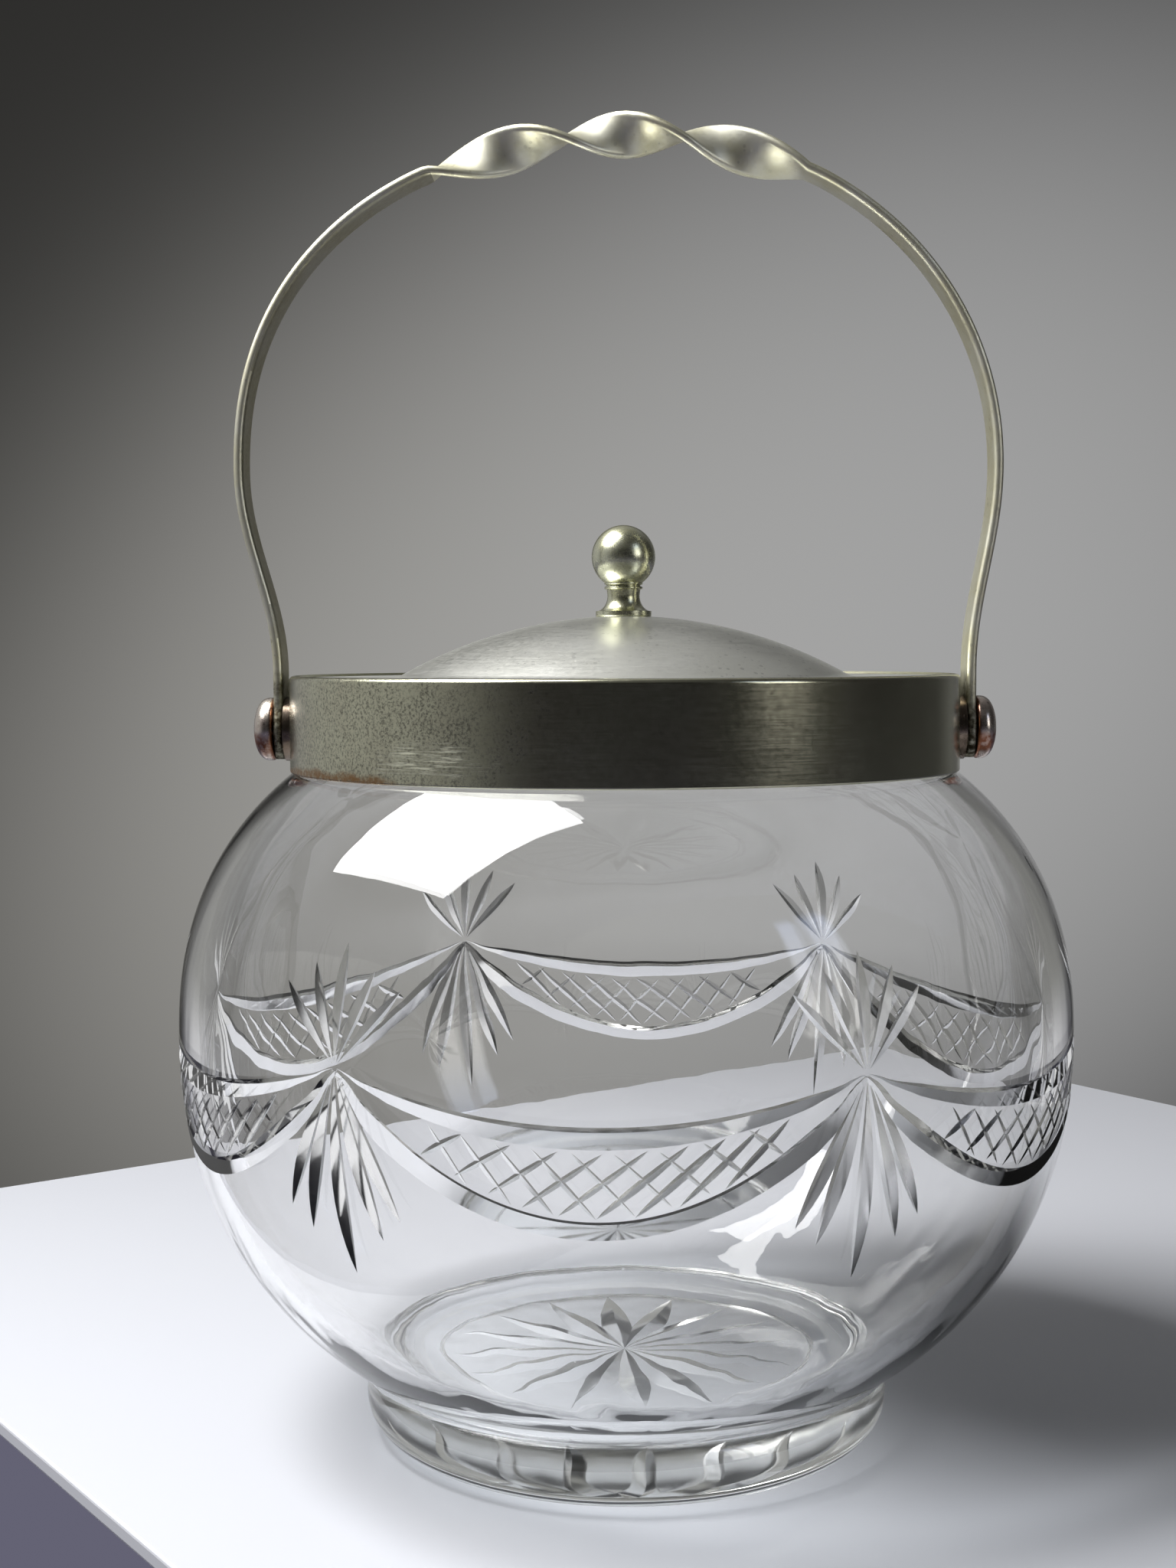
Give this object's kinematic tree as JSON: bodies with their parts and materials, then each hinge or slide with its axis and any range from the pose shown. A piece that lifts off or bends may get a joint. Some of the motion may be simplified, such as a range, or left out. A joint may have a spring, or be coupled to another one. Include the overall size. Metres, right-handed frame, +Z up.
{
  "type": "biscuit jar",
  "caption": "Round cut-glass biscuit jar on a thick foot, with a plated collar, a domed lid with a ball knob and a twisted swing handle.",
  "frame": {"origin": "centre of the circle on which the jar stands, on the table", "axes": "+Z up along the jar's axis, X through the two rivets that the handle swings on, -Y towards the front"},
  "size_m": [0.1548, 0.1548, 0.2292],
  "materials": {
    "clear_glass": "polished, cut",
    "plaster": "matt",
    "collar_plate": "satin, pitted",
    "handle_plate": "satin",
    "rivet_plate": "satin, worn",
    "washer_metal": "dull",
    "copper": "dull",
    "lid_plate": "satin, worn",
    "knob_plate": "satin, worn"
  },
  "bodies": {
    "jar": {"glass_jar": "clear_glass", "plaster_bed": "plaster", "collar": "collar_plate", "rivet_left": "rivet_plate", "rivet_right": "rivet_plate", "spacer_left": "washer_metal", "spacer_right": "washer_metal", "burr_left": "copper", "burr_right": "copper"},
    "handle": {"handle": "handle_plate"},
    "lid": {"lid": "lid_plate", "lid_bezel": "lid_plate", "knob": "knob_plate", "knob_stud": "washer_metal", "knob_washer": "washer_metal", "knob_nut": "copper"}
  },
  "joints": [
    {"name": "handle_swing", "type": "hinge", "parent": "jar", "child": "handle", "pos_m": [0, 0, 0.123], "axis": [1, 0, 0], "range_deg": [-111, 111]},
    {"name": "lid_lift", "type": "slide", "parent": "jar", "child": "lid", "axis": [0, 0, 1], "range_m": [0, 0.055]}
  ]
}
